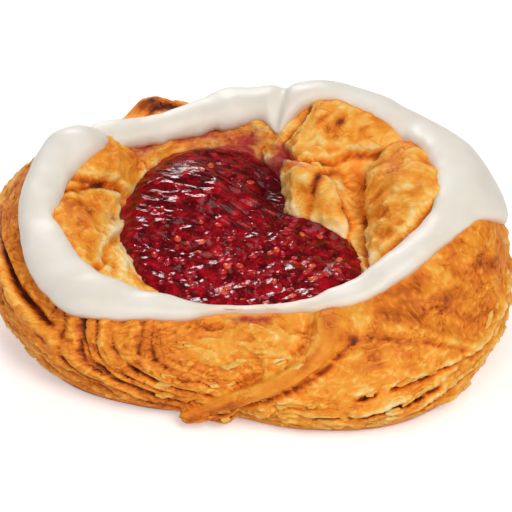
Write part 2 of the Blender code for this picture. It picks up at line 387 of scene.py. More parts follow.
def crust_material():
    """Baked laminated dough: butter-rich leaves, egg-washed, browned where they stand out, creamy where unbaked.

    Baking gives golden leaves with brown edges and a satin skin with fine blisters; the cracks between them are
    darkened as painted shade.
    """
    material, tree, shader = new_material("baked_laminated_dough", {
        "IOR": 1.45,
        "Specular IOR Level": 0.3,
        "Subsurface Weight": 0.12,
        "Subsurface Radius": (1.0, 0.45, 0.2),
        "Subsurface Scale": 0.9 * MM,
    })
    place = add(tree, "TexCoord").outputs["Object"]
    along = add(tree, "Mapping", {"Vector": place, "Scale": (0.55, 0.55, 1.3)}).outputs[0]
    patches, flecks, pores, blisters = [
        add(
            tree, "TexNoise", {"Vector": at, "Scale": 1 / (size * MM), "Detail": detail, "Roughness": rough}
        ).outputs[0]
        for at, size, detail, rough in (
            (place, 6.5, 3.0, 0.6), (along, 1.3, 3.0, 0.6), (place, 0.45, 2.0, 0.5), (place, 1.6, 3.0, 0.55)
        )
    ]

    # Fine cracks between flat plates of skin, only here and there, darkened with painted shade.
    stretched = add(tree, "Mapping", {"Vector": place, "Scale": (0.45, 0.45, 1.5)}).outputs[0]
    waver = add(tree, "TexNoise", {"Vector": place, "Scale": 1 / (2.0 * MM), "Detail": 2.0}).outputs[1]
    bent = add(
        tree, "VectorMath", {0: waver, 1: (1.8 * MM,) * 3, 2: stretched}, operation="MULTIPLY_ADD"
    ).outputs[0]
    plates = add(
        tree, "TexVoronoi", {"Vector": bent, "Scale": 1 / (1.7 * MM)}, feature="DISTANCE_TO_EDGE"
    ).outputs["Distance"]
    crack = add(tree, "MapRange", {"Value": plates, "From Max": 0.07, "To Min": 1.0, "To Max": 0.0}).outputs[0]
    broken = add(tree, "MapRange", {"Value": patches, "From Min": 0.46, "From Max": 0.60}).outputs[0]
    crack = add(tree, "Math", {0: crack, 1: broken}, operation="MULTIPLY").outputs[0]

    tone = add(tree, "Attribute", attribute_name="tone").outputs["Fac"]
    for layer, amount in ((crack, 0.16), (patches, 0.36), (flecks, 0.18)):
        tone = add(tree, "Math", {0: layer, 1: amount, 2: tone}, operation="MULTIPLY_ADD").outputs[0]
    tone = add(tree, "Math", {0: tone, 1: 0.27}, operation="SUBTRACT").outputs[0]
    # The darker colours also paint the shade in cracks, creases and hollows.
    baked_and_shaded = add(tree, "ValToRGB", {"Fac": tone}, stops=BAKED_AND_SHADED).outputs[0]
    stain = add(tree, "Attribute", attribute_name="stain").outputs["Fac"]
    stain = add(tree, "Math", {0: flecks, 1: 0.9, 2: stain}, operation="MULTIPLY_ADD").outputs[0]
    stain = add(
        tree, "MapRange", {"Value": stain, "From Min": 0.72, "From Max": 1.25, "To Max": 0.9}
    ).outputs[0]
    colour = add(tree, "Mix", {0: stain, 6: baked_and_shaded, 7: "#B01E38"}, data_type="RGBA").outputs[2]
    rough = add(
        tree, "MapRange", {"Value": patches, "From Min": 0.3, "From Max": 0.7, "To Min": 0.48, "To Max": 0.66}
    )
    grain = pores
    for layer, amount in ((blisters, 2.2), (flecks, 0.5), (crack, -0.9)):
        grain = add(tree, "Math", {0: layer, 1: amount, 2: grain}, operation="MULTIPLY_ADD").outputs[0]
    bump = add(tree, "Bump", {"Height": grain, "Strength": 0.5, "Distance": 0.26 * MM})
    tree.links.new(colour, shader.inputs["Base Color"])
    tree.links.new(rough.outputs[0], shader.inputs["Roughness"])
    tree.links.new(bump.outputs[0], shader.inputs["Normal"])
    return material


def jam_material():
    """Cooked raspberry jam: boiled fruit and sugar, a clear deep red gel with pulp in it and a wet skin."""
    material, tree, shader = new_material("cooked_raspberry_jam", {
        "IOR": 1.45,
        "Specular IOR Level": 0.4,
        "Subsurface Weight": 0.1,
        "Subsurface Radius": (1.0, 0.06, 0.04),
        "Subsurface Scale": 0.8 * MM,
    })
    place = add(tree, "TexCoord").outputs["Object"]
    streaks = add(
        tree, "Mapping", {"Vector": place, "Rotation": (0.0, 0.0, -JAM_GRAIN), "Scale": (0.55, 1.5, 1.0)}
    ).outputs[0]
    pulp, shreds, ripples = [
        add(
            tree, "TexNoise", {"Vector": at, "Scale": 1 / (size * MM), "Detail": 3.0, "Roughness": rough}
        ).outputs[0]
        for at, size, rough in ((place, 2.4, 0.62), (place, 0.8, 0.6), (streaks, 1.2, 0.6))
    ]
    red = add(
        tree, "ValToRGB", {"Fac": pulp}, stops=((0.38, "#4C0005"), (0.68, "#BC061E"), (0.54, "#86010F"))
    ).outputs[0]
    bits = add(tree, "MapRange", {"Value": shreds, "From Min": 0.61, "From Max": 0.70, "To Max": 0.8}).outputs[0]
    # The jam is painted darker in the groove beside the right-hand lump: painted shade.
    groove_shade, thin = [add(tree, "Attribute", attribute_name=mark).outputs["Fac"] for mark in ("groove_shade", "thin")]
    for share, colour in ((bits, "#DC1C36"), (groove_shade, "#440005"), (thin, "#B81C30")):
        red = add(tree, "Mix", {0: share, 6: red, 7: colour}, data_type="RGBA").outputs[2]
    rough = add(
        tree, "MapRange", {"Value": pulp, "From Min": 0.35, "From Max": 0.7, "To Min": 0.05, "To Max": 0.13}
    )
    wet = add(tree, "Math", {0: ripples, 1: 1.4, 2: shreds}, operation="MULTIPLY_ADD").outputs[0]
    bump = add(tree, "Bump", {"Height": wet, "Strength": 0.4, "Distance": 0.16 * MM})
    tree.links.new(red, shader.inputs["Base Color"])
    tree.links.new(rough.outputs[0], shader.inputs["Roughness"])
    tree.links.new(bump.outputs[0], shader.inputs["Normal"])
    return material


def seed_material():
    """Raspberry seeds, boiled soft and stained by the juice: from pink to orange red, waxy and wet."""
    material, tree, shader = new_material("stained_raspberry_seed", {
        "Roughness": 0.2,
        "IOR": 1.45,
        "Subsurface Weight": 0.3,
        "Subsurface Radius": (1.0, 0.3, 0.15),
        "Subsurface Scale": 0.6 * MM,
    })
    tint = add(tree, "Attribute", attribute_name="tint").outputs["Fac"]
    colour = add(
        tree, "ValToRGB", {"Fac": tint}, stops=((0.0, "#84081A"), (1.0, "#EC6A40"), (0.6, "#C4222E"))
    ).outputs[0]
    tree.links.new(colour, shader.inputs["Base Color"])
    return material


def icing_material():
    """Sugar icing: powdered sugar and water, poured thick and set to a warm white satin skin."""
    material, tree, shader = new_material("set_sugar_icing", {
        "Roughness": 0.46,
        "IOR": 1.5,
        "Subsurface Weight": 0.35,
        "Subsurface Radius": (1.0, 0.8, 0.55),
        "Subsurface Scale": 1.5 * MM,
    })
    place = add(tree, "TexCoord").outputs["Object"]
    clouds, skin = [
        add(
            tree, "TexNoise", {"Vector": place, "Scale": 1 / (size * MM), "Detail": 2.0, "Roughness": rough}
        ).outputs[0]
        for size, rough in ((9.0, 0.5), (3.0, 0.4))
    ]
    white = add(tree, "ValToRGB", {"Fac": clouds}, stops=((0.35, "#EFE8DD"), (0.65, "#F6F1E9"))).outputs[0]
    # Warmer and darker at the thin edges and the thin front: partly the crust showing through, partly painted shade.
    thin = add(tree, "Attribute", attribute_name="thin").outputs["Fac"]
    colour = add(tree, "Mix", {0: thin, 6: white, 7: "#E8C498"}, data_type="RGBA").outputs[2]
    bump = add(tree, "Bump", {"Height": skin, "Strength": 0.15, "Distance": 0.5 * MM})
    tree.links.new(colour, shader.inputs["Base Color"])
    tree.links.new(bump.outputs[0], shader.inputs["Normal"])
    return material


# ---- the dough's leaves, cracks and flaps -----------------------------------------------------------------

DOUGH_COLUMNS = 640
FINEST, CROWDED = -95.0, 26.0  # the angle round which columns lie closest, and by how many degrees they move
# Rows in each stretch of the section, close together on the wall and the inside of the rim.
DOUGH_ROWS = (1, 2, 4, 32, 36, 16, 20, 31, 5, 2, 2)

# Where each place of the dough lies: its angle, height, key and point, and two noises that make lines waver.
Lie = namedtuple("Lie", "angle z key place wavy fine")

Mark = namedtuple("Mark", "x y length width turn amount")
# Marks on the inside of the rim, in plan: darker where the amount is above 0, paler where it is below. Most are
# browning; the dark crack and the valley's shade are painted shade.
INNER_MARKS = (
    Mark(-33.5, 17.5, 7, 5.0, 120, 0.14),  # the upper flap's browned corner
    Mark(-27.0, 20.5, 3, 1.6, 140, 0.30),  # its tip
    Mark(-38, 0, 6, 4.5, 100, 0.26),  # the lower flap's browned half
    Mark(-36, -11, 6, 2.6, 70, 0.14),
    Mark(-31.5, -8, 5, 2.4, 75, -0.20),
    Mark(-30.5, 0, 8, 3.0, 85, -0.28),  # its yellow edge
    Mark(-26, -5, 11, 1.6, 80, -0.36),  # the cream strip by the jam
    Mark(-22.5, -16.5, 5, 1.2, 160, 0.24),  # the browned edge in front of it
    Mark(-15, 30, 12, 3, 10, -0.06),
    Mark(18.5, 33.0, 8, 2.6, 160, 0.30),  # the back lump's browned top
    Mark(26, 26, 6, 2.2, 135, 0.26),
    Mark(18.4, 24.2, 1.6, 0.9, 20, 0.40),  # dark spots on it
    Mark(23.9, 22.3, 1.4, 0.8, 0, 0.34),
    Mark(15.2, 25.3, 1.6, 0.6, 30, 0.30),
    Mark(12, 20, 5, 4, 20, -0.04),
    Mark(33.5, 17.0, 5.5, 1.8, 155, 0.34),  # the right lump's browned top edge
    Mark(36.5, 6, 6, 2.2, 90, 0.16),
    Mark(27.5, 6, 7, 2.5, 80, 0.12),
    Mark(27, -7.5, 4, 1.8, 20, 0.22),
    Mark(24, -10, 5, 2.2, 60, -0.34),  # its low creamy end
    Mark(14.0, 9.5, 5.0, 0.9, 58, 0.52),  # the browned crease down the tongue
    Mark(17.8, 14.0, 1.4, 1.0, 40, 0.40),
    Mark(18.4, 7.6, 3.0, 0.6, -45, 0.46),  # the dark crack at the tongue's edge, painted shade
    Mark(14, 3.4, 5, 1.6, -20, -0.10),  # the tongue's soft crumb
    Mark(19.5, 0.0, 4, 2.0, -40, -0.20),
    Mark(6.5, 11, 6, 1.4, 110, -0.10),
    Mark(23.2, 8, 9, 1.6, 95, 0.16),  # the valley's painted shade
)
TONGUE_CREASES = (
    Mark(14.0, 9.5, 5.0, 0.7, 58, 1.1),
    Mark(18.4, 7.6, 3.2, 0.6, -45, 1.0),
)
# Where the jam has soaked into the inside of the rim.
SOAKED = (
    Mark(-14, 30.5, 10, 3.4, 14, 1.0),
    Mark(-25, 25.0, 4.5, 2.8, 50, 0.80),
    Mark(5.4, 20.5, 5.0, 2.6, 105, 1.00),
    Mark(-2, 28, 5, 2.4, 0, 0.80),
    Mark(-31, 3, 3.5, 1.0, 90, 0.60),
    Mark(9.5, 12.0, 4.0, 1.2, 125, 0.50),
)

# Flaps that lie on the inside of the rim: outline in plan, how far they rise, and how wide their edge is.
Flap = namedtuple("Flap", "outline rise edge")
FLAPS = (
    Flap(
        ((-38, 20.5), (-33.1, 22.9), (-28.4, 21.9), (-24.6, 19.1), (-27.2, 12.8), (-34.5, 10), (-42, 9.5)),
        1.5, 0.8,
    ),
    Flap(
        ((-46, 2), (-40.4, 4.4), (-34.7, 8.2), (-29, 10.3), (-28.8, 1.9), (-32.6, -13.3), (-36, -19), (-44, -10)),
        1.2, 0.7,
    ),
    Flap(
        (
            (1.3, 25.2), (4.2, 18.8), (3.4, 15), (7.3, 5.9), (13.4, 2.8),
            (19.1, -0.8), (19.6, 4), (16, 9.6), (11, 13),
        ),
        0.8, 1.1,
    ),
    Flap(
        ((25, 14), (29.5, 18.7), (40, 17.5), (42, 1.4), (31.3, -8.6), (24.2, -10.3), (24.3, 3.7)),
        2.1, 1.0,
    ),
    Flap(
        (
            (6.4, 23), (11.9, 27.3), (15, 36), (31, 31), (33, 20),
            (28.2, 18.9), (20.5, 19.2), (13.9, 15.6), (9.5, 15.2),
        ),
        1.5, 1.0,
    ),
)

# Blotches that the oven has browned on the right-hand side: angle, height, half sizes in degrees and in mm, and
# how much browner they are.
BLOTCHES = (
    (-42, 22.5, 4, 1.2, 0.30), (-36, 20.6, 4, 1.1, 0.26), (-23, 21.9, 5, 1.4, 0.30),
    (-30, 14.9, 6, 1.6, 0.22), (-59, 15.5, 3, 1.2, 0.24), (-48, 20.2, 5, 1.2, 0.22),
    (-14, 19.5, 5, 1.4, 0.20), (-24, 25.5, 5, 0.9, 0.20), (-44, 17.5, 5, 1.3, 0.14),
    (-10, 23.5, 5, 1.0, 0.16),
)
# Broken cracks low on the wall, in front and at the right.
Crack = namedtuple("Crack", "low high z slope depth")
CRACKS = (
    Crack(-64, -36, 10.3, 0.02, 1.6),
    Crack(-78, -50, 6.4, 0.10, 1.5),
    Crack(-78, -60, 2.2, 0.02, 1.7),
    Crack(-52, -12, 7.2, 0.10, 1.3),
    Crack(-40, -14, 11.2, 0.14, 1.0),
    Crack(-100, -76, 3.2, 0.0, 1.0),
)
HEART_ANGLE, HEART_Z = -94.0, 19.5  # where the hanging leaves have their middle
LOBE_ANGLE, LOBE_HALF_ANGLE, LOBE_RISE = 119, 7.5, 2.6  # the lobe that stands up behind the icing


def wall_line(angle, *points):
    """The height of a line on the wall through these (angle, height) points, from left to right."""
    ends = np.array(points, float)
    middle = ends[len(ends) // 2, 0]
    return np.interp(turn_from(angle, middle) + middle, ends[:, 0], ends[:, 1])


def between(angle, low, high, soft):
    """1 between these angles, falling off over a few degrees outside them."""
    middle, half = (low + high) / 2, (high - low) / 2
    return smooth_step((half + soft - np.abs(turn_from(angle, middle))) / soft)


def side_by_side(distance, pitch, sharp):
    """Leaves side by side: each swells to 1 and meets the next in a crease at 0."""
    return np.abs(np.sin(np.pi * distance / pitch)) ** sharp


def torn(place, size, steps, seed):
    """Torn layers: flat steps of 0 to about 1, and how near each place is to a step's edge."""
    level = (fractal(place, size, 2, seed) * 0.5 + 0.5) * steps
    share = level - np.floor(level)
    return (np.floor(level) + smooth_step((share - 0.78) / 0.22)) / steps, bell(share - 0.93, 0.12)


def out_from_heart(lie):
    """How far out from the front's heart each place is, measured so that the hanging leaves are level lines."""
    round_it, under_it = turn_from(lie.angle, HEART_ANGLE) * 0.44, (HEART_Z - lie.z) * 1.35
    return np.hypot(round_it, under_it) + 0.6 * lie.wavy + 0.3 * lie.fine


def hanging_leaves(lie):
    """The leaves that hang in nested crescents at the front left, each meeting the next in a crease darkened with
    painted shade.
    """
    out = out_from_heart(lie)
    there = between(lie.angle, -152, -99, 6) * smooth_step((out - 9.5) / 2.5) * smooth_step((25.0 - out) / 2.0)
    lively = np.clip(0.6 + 1.3 * fractal(lie.place * (1.0, 1.0, 0.5), 7.0, 2, 12), 0.1, 1.3)
    other = np.clip(0.6 - 1.3 * fractal(lie.place, 6.0, 2, 17), 0.1, 1.2)
    wide = 1 - (1 - side_by_side(out - 1.4, 3.7, 0.42)) * lively
    middle = 1 - (1 - side_by_side(out + 0.8 * lie.wavy, 2.3, 0.45)) * other
    narrow = side_by_side(out + 0.5 * lie.fine, 1.05, 0.6)
    height = there * (1.7 * (wide - 0.75) + 1.15 * (middle - 0.75) + 0.28 * (narrow - 0.6))
    # Darker towards each crease between the leaves: painted shade.
    tone = 0.05 + 0.40 * (1 - wide) ** 1.4 + 0.34 * (1 - middle) ** 1.4 + 0.10 * (1 - narrow) ** 2
    return height, there * tone, there


def left_end(lie):
    """The left-hand end: one smooth browned skin that breaks off in a crack, with thin leaves under it."""
    crack = wall_line(
        lie.angle, (-205, 20.5), (-165, 19.2), (-160, 18.2), (-154, 16.9), (-146, 15.0),
        (-133, 11.2), (-118, 5.5), (-106, 2.5)
    )
    below = crack - lie.z + 0.4 * lie.wavy
    there = between(lie.angle, -206, -112, 8)
    layers = side_by_side(below + 0.4 * lie.fine + 1.2 * lie.wavy, 2.9, 0.5)
    layers = 1 - (1 - layers) * np.clip(0.6 + 1.2 * fractal(lie.place * (1.0, 1.0, 0.5), 10.0, 2, 20), 0.1, 1.2)
    under = there * smooth_step((below - 0.5) / 0.8)
    skin = there * smooth_step(-below / 0.8)
    height = there * (0.9 * bell(below - 1.7, 1.0) + 0.35 * bell(below + 1.0, 0.8) - 1.9 * bell(below, 0.5))
    height += under * (0.9 * (layers - 0.6))
    # The skin is browned; the crack and the creases between the leaves under it are darkened with painted shade.
    tone = skin * 0.16 + under * (0.08 + 0.3 * (1 - layers) ** 2) + there * 0.5 * bell(below, 0.5)
    return height, tone, skin


def torn_walls(lie):
    """Broken layers all over the wall: thin steps with pale edges."""
    place = lie.place * (0.6, 0.6, 1.7)
    large, large_edge = torn(place, 5.0, 4, 41)
    small, small_edge = torn(place, 2.4, 4, 42)
    return 1.5 * large + 0.6 * small - 1.05, 0.10 * (0.5 - large) - 0.16 * large_edge - 0.10 * small_edge


def rolled_band(lie):
    """The band rolled down across the front, from the rim to its squeezed end at the foot, smooth and even."""
    line = wall_line(
        lie.angle, (-110, 1.5), (-107, 3.0), (-101, 6.0), (-94.2, 8.7), (-87.6, 10.9), (-81, 13.4), (-76.7, 15.1),
        (-72, 17.1), (-67.6, 19.3), (-60, 22.0)
    )
    off = lie.z - line + 0.25 * lie.wavy
    there = between(lie.angle, -109, -63, 3)
    streaks = fractal(np.stack([off * 2.4, lie.angle * 0.10, 0 * off], axis=-1), 1.6, 3, 16)
    top = there * smooth_step((2.1 + 0.5 * lie.wavy - np.abs(off)) / 1.1)
    grooves = there * (bell(off + 2.8, 0.6) + 0.8 * bell(off - 2.8, 0.5))
    height = 1.05 * top + 0.3 * top * (bell(off - 0.3, 1.0) + streaks) - 0.8 * grooves
    tone = top * (0.57 + 0.20 * streaks + 0.05 * lie.fine - 0.10 * bell(off - 1.2, 0.6))
    # A painted shadow line along the groove under the band.
    tone += 0.24 * there * bell(off + 2.8, 0.6)
    return height, tone, top


def right_side(lie):
    """The right-hand side: a broad skin mottled by the oven, over a shelf and broken cracks."""
    there = between(lie.angle, -62, 14, 10)
    skin = there * smooth_step((lie.z - 12.0 - 0.06 * turn_from(lie.angle, -35)) / 2.5)
    bulge = 0.65 * fractal(lie.place, 7.5, 2, 5) - 0.5 * smooth_step(ridged(lie.place, 6.0, 2, 6) * 4 - 3.3)
    height = there * bulge
    tone = there * (0.02 + 0.16 * fractal(lie.place, 5.0, 2, 7)) + 0.05 * skin
    for angle, z, half_angle, half_height, amount in BLOTCHES:
        spread = bell(turn_from(lie.angle, angle) + 2.5 * lie.fine, half_angle)
        spread = spread * bell(lie.z - z + 0.6 * lie.wavy, half_height)
        tone += amount * 1.05 * spread
        height += 0.35 * spread
    shelf = wall_line(lie.angle, (-66, 19.4), (-55, 19.2), (-47, 17.2), (-41, 14.4), (-36, 11.5))
    shelf = shelf - lie.z + 0.5 * lie.wavy
    on_shelf = between(lie.angle, -65, -37, 4)
    height += on_shelf * (0.5 * bell(shelf + 1.2, 1.0) - 0.5 * bell(shelf - 0.5, 0.6))
    # Painted shade just under the shelf's lip; the lip itself is paler.
    tone += on_shelf * (0.08 * bell(shelf - 0.5, 0.6) - 0.06 * bell(shelf + 1.0, 0.8))
    for low, high, z, slope, depth in CRACKS:
        off = lie.z - z - slope * turn_from(lie.angle, (low + high) / 2) + 0.9 * lie.wavy + 0.3 * lie.fine
        broken = 1.2 * between(lie.angle, low, high, 5) * smooth_step(0.9 + 1.6 * fractal(lie.place, 4.0, 2, 13))
        height += broken * (0.6 * bell(off - 1.2, 0.9) - depth * bell(off, 0.38))
        # The cracks are darkened with painted shade, more so low on the wall; just above each crack the dough is
        # paler.
        dark = 0.12 + 0.36 * smooth_step((11.0 - lie.z) / 4)
        tone += broken * (dark * bell(off, 0.4) - 0.14 * bell(off - 0.9, 0.5))
    return height, tone, skin


def round_the_back(lie):
    """Round the back the outermost turns of the rolled dough show as long broken ledges."""
    there = between(lie.angle, 16, 152, 8)
    uneven = 2.2 * fractal(lie.place * (1.0, 1.0, 0.3), 24.0, 2, 18) + 1.3 * lie.wavy + 0.3 * lie.fine
    turns = (lie.z + 0.05 * turn_from(lie.angle, 80) + uneven) / (4.4 + 0.08 * (lie.z - 12))
    share = np.mod(turns, 1.0)
    open_here = np.clip(0.55 + 1.2 * fractal(lie.place * (1.0, 1.0, 0.4), 12.0, 2, 19), 0.1, 1.2)
    crack = bell(np.minimum(share, 1 - share), 0.07) * open_here
    height = there * (1.1 * (share**1.5 - 0.4) * open_here - 1.1 * crack)
    # The cracks between the ledges are darkened with painted shade; near the top of each ledge the dough is paler.
    tone = 0.06 + 0.13 * fractal(lie.place, 8.0, 2, 8) + 0.5 * crack - 0.14 * bell(share - 0.82, 0.1)
    return height, there * tone


def outline_depth(x, y, corners):
    """How far inside a closed outline in plan these places are, in mm; below 0 outside it."""
    depth = np.full_like(x, np.inf)
    inside = np.zeros(x.shape, bool)
    for (x0, y0), (x1, y1) in zip(corners, corners[1:] + corners[:1]):
        share = np.clip(((x - x0) * (x1 - x0) + (y - y0) * (y1 - y0)) / ((x1 - x0) ** 2 + (y1 - y0) ** 2), 0, 1)
        depth = np.minimum(depth, np.hypot(x - x0 - share * (x1 - x0), y - y0 - share * (y1 - y0)))
        if y0 != y1:
            inside ^= ((y0 > y) != (y1 > y)) & (x < (x1 - x0) * (y - y0) / (y1 - y0) + x0)
    return np.where(inside, depth, -depth)


def inside_rim(lie):
    """The inside of the rim: crumpled folds, flaps with broken edges, and soft crumb by the jam."""
    x, y = lie.place[..., 0], lie.place[..., 1]
    there = smooth_step((lie.key - CREST - 0.05) / 0.4) * smooth_step((FOOT + 0.3 - lie.key) / 0.4)
    layers, edges = torn(lie.place * (1.0, 1.0, 0.7), 4.5, 4, 43)
    height = 0.7 * ridged(lie.place, 8.0, 3, 11) + 0.35 * lie.fine + 1.0 * layers - 1.0
    tone = -0.10 - 0.14 * edges + 0.16 * fractal(lie.place, 3.2, 2, 14)
    for flap in FLAPS:
        depth = outline_depth(x, y, flap.outline) + 0.5 * lie.wavy + 0.35 * lie.fine
        height += flap.rise * smooth_step(depth / flap.edge + 0.5) + 0.5 * smooth_step(depth / 4.0)
        height -= 0.8 * bell(depth + 0.9, 0.5)
        # A painted shadow just outside each flap's edge, a paler strip just inside it, and a slightly browner flap.
        tone += 0.16 * bell(depth + 0.75, 0.5) - 0.10 * bell(depth - 0.4, 0.4) + 0.07 * smooth_step(depth)
    for mark in INNER_MARKS:
        tone += mark.amount * oval(x, y, mark) * (1.0 + 0.5 * lie.fine)
    for crease in TONGUE_CREASES:
        height -= crease.amount * oval(x, y, crease)
    tone -= 0.16 * smooth_step((lie.key - FOOT + 0.25) / 0.3)
    return there * height, there * tone


def soaked(lie):
    """Where the jam has soaked into the dough: round its edge, at the back left and under the icing in front."""
    x, y = lie.place[..., 0], lie.place[..., 1]
    inner = smooth_step((lie.key - CREST) / 0.3)
    stain = inner * 0.5 * bell(lie.key - FOOT, 0.10) + sum(inner * mark.amount * oval(x, y, mark) for mark in SOAKED)
    below_icing = bell(turn_from(lie.angle, -92) + 4 * lie.fine, 10) * bell(lie.key - CREST + 0.24, 0.2)
    return stain + 0.85 * below_icing


def make_dough(material):
    """The pastry's baked dough; gives the points of its surface and the direction out at each."""
    key = np.interp(np.arange(sum(DOUGH_ROWS) + 1), np.cumsum((0,) + DOUGH_ROWS), np.arange(LAST + 1))
    share = np.arange(DOUGH_COLUMNS) / DOUGH_COLUMNS
    angle = FINEST + 360.0 * share - CROWDED * np.sin(math.tau * share)
    smooth = dough_surface(angle, key)
    normal = grid_normals(smooth)
    shape = smooth.shape[:2]
    lie = Lie(
        np.broadcast_to(angle[None, :], shape), smooth[..., 2], np.broadcast_to(key[:, None], shape), smooth,
        fractal(smooth, 11.0, 2, 1), fractal(smooth, 2.6, 2, 2)
    )
    wall = smooth_step((lie.key - BASE + 0.1) / 0.4) * smooth_step((CREST - 0.05 - lie.key) / 0.4)
    height, tone = torn_walls(lie)
    tone = 0.43 + tone
    crescents, crescent_tone, on_crescents = hanging_leaves(lie)
    end, end_tone, end_skin = left_end(lie)
    right, right_tone, right_skin = right_side(lie)
    back, back_tone = round_the_back(lie)
    band, band_tone, on_band = rolled_band(lie)
    calm = (1 - 0.75 * end_skin) * (1 - 0.7 * on_crescents) * (1 - 0.6 * right_skin)
    rough_heart = 1 + 0.5 * between(lie.angle, -116, -78, 6)
    off_crescents = 1 - 0.8 * on_crescents
    height = height * calm * rough_heart + crescents + end * off_crescents + right + back
    tone += crescent_tone + end_tone * off_crescents + right_tone + back_tone
    height += (0.24 * lie.fine + 0.14 * fractal(smooth * (0.6, 0.6, 1.0), 1.5, 1, 9)) * (1 - 0.5 * right_skin)
    pits = smooth_step((fractal(smooth, 1.6, 1, 10) - 0.30) * 6)
    height -= pits * (0.1 + 0.2 * end_skin)
    tone += pits * 0.10 * end_skin
    height = height * (1 - on_band) + band
    tone = tone * (1 - on_band) + band_tone
    nub = between(lie.angle, -107, -94, 4) * smooth_step((5.0 - lie.z) / 1.5)
    height += nub * (0.9 + 0.9 * fractal(smooth, 3.0, 2, 15))
    inner, inner_tone = inside_rim(lie)
    height = height * wall + inner
    tone = tone * wall + (1 - wall) * 0.42 + inner_tone
    foot = bell(lie.z, 1.4) * smooth_step(lie.key - BASE + 1.0)
    tone += foot * (0.14 + 0.26 * between(lie.angle, -150, -108, 8))
    under_side = 1.0 - smooth_step((lie.key - BASE + 0.6) / 0.5)
    from_lobe, upper = turn_from(lie.angle, LOBE_ANGLE), smooth_step((lie.key - BELLY - 0.3) / 0.5)
    tone += 0.2 * under_side + 0.16 * bell(from_lobe, 9) * upper
    # Hollows of the relief are darkened with painted shade and its ridges paled with painted light.
    relief = height - soften(height, 12)
    tone += np.clip(-relief * 0.5 - 0.05, 0, 0.28) - np.clip(relief * 0.45 - 0.04, 0, 0.16)
    moved = smooth + normal * height[..., None]
    lobe = bell(from_lobe, LOBE_HALF_ANGLE) * upper * smooth_step((CREST - lie.key) / 0.35)
    moved[..., 2] = np.maximum(moved[..., 2] + LOBE_RISE * lobe, 0.0)
    dough = wrapped("flaky_dough", moved, {"tone": tone, "stain": soaked(lie)}, material)
    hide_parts("dough")
    return moved, normal, key, angle


# ---- loose flakes -----------------------------------------------------------------------------------------

# Beds of loose flakes on the wall: angles, keys, how many, their length and width in mm, how far they stand off
# and how many degrees they slope.
Bed = namedtuple("Bed", "low high key_low key_high count length width lift slope")
BEDS = (
    Bed(-114, -70, 3.6, 5.0, 26, 3.0, 1.0, 0.40, 12),  # the front's rough heart
    Bed(-100, -72, 3.2, 3.8, 10, 3.2, 0.9, 0.35, 0),
    Bed(-66, -12, 3.15, 4.3, 26, 4.2, 1.0, 0.38, 8),  # under the right-hand skin
    Bed(-176, -128, 3.1, 4.0, 10, 4.4, 1.0, 0.35, -14),  # under the left-hand lip
    Bed(14, 92, 3.2, 5.2, 40, 5.2, 1.2, 0.42, 6),  # the back
    Bed(134, 176, 3.2, 5.2, 26, 5.2, 1.2, 0.42, -6),
)
FLAKE_THICK = 0.22


def add_flake(bm, layer, middle, down, out, length, width, lift, curl, tone):
    """A thin flake: its upper edge is sunk in the dough, its lower edge stands off and is paler."""
    side = np.cross(down, out)
    made = bmesh.ops.create_grid(bm, x_segments=6, y_segments=2, size=0.5)["verts"]
    for vert in made:
        along, across = vert.co.x, vert.co.y
        narrow = 1.0 - 3.2 * along**2 + 0.22 * math.sin(23 * along + 40 * tone)
        stand = lift * (across + 0.3) + curl * 4 * along**2
        ragged = across * narrow + 0.1 * math.sin(9 * along)
        vert.co = to_metres(middle + side * along * length + down * ragged * width + out * stand)
        vert[layer] = tone - 0.12 * (across > 0.4)
    faces = list({face for vert in made for face in vert.link_faces})
    bmesh.ops.solidify(bm, geom=faces, thickness=FLAKE_THICK * MM)


def make_flakes(material, surface, normal, key, angle):
    chance = np.random.default_rng(5)
    bm = bmesh.new()
    layer = bm.verts.layers.float.new("tone")
    for bed in BEDS:
        for _ in range(bed.count):
            column = int(np.argmin(np.abs(turn_from(angle, chance.uniform(bed.low, bed.high)))))
            row = int(np.searchsorted(key, chance.uniform(bed.key_low, bed.key_high)))
            out = normal[row, column]
            down = surface[row - 2, column] - surface[row + 2, column]
            down = down - out * down.dot(out)
            down /= np.linalg.norm(down)
            turn = math.radians(bed.slope + chance.uniform(-14, 14))
            down = down * math.cos(turn) + np.cross(out, down) * math.sin(turn)
            size = chance.uniform(0.6, 1.35)
            add_flake(
                bm, layer, surface[row, column], down, out, bed.length * size, bed.width * chance.uniform(0.7, 1.3),
                bed.lift * chance.uniform(0.5, 1.3), chance.uniform(-0.25, 0.1), chance.uniform(0.24, 0.46)
            )
    finished("loose_flakes", bm, material)


# ---- the jam ----------------------------------------------------------------------------------------------

JAM_COLUMNS = 480
JAM_ROWS_UNDER = 10
JAM_ROWS_OVER = 130
JAM_SUNK = 4.0  # how deep the jam's edge goes into the dough
HEAP = Mark(-11.0, 8.0, 13.0, 12.0, 20, 3.6)
GROOVE = Mark(3.0, 12.0, 10.0, 3.0, 112, -2.0)
SHEEN = Mark(-16.0, 20.5, 7.0, 4.0, 20, 0.75)  # where the skin is smoothest


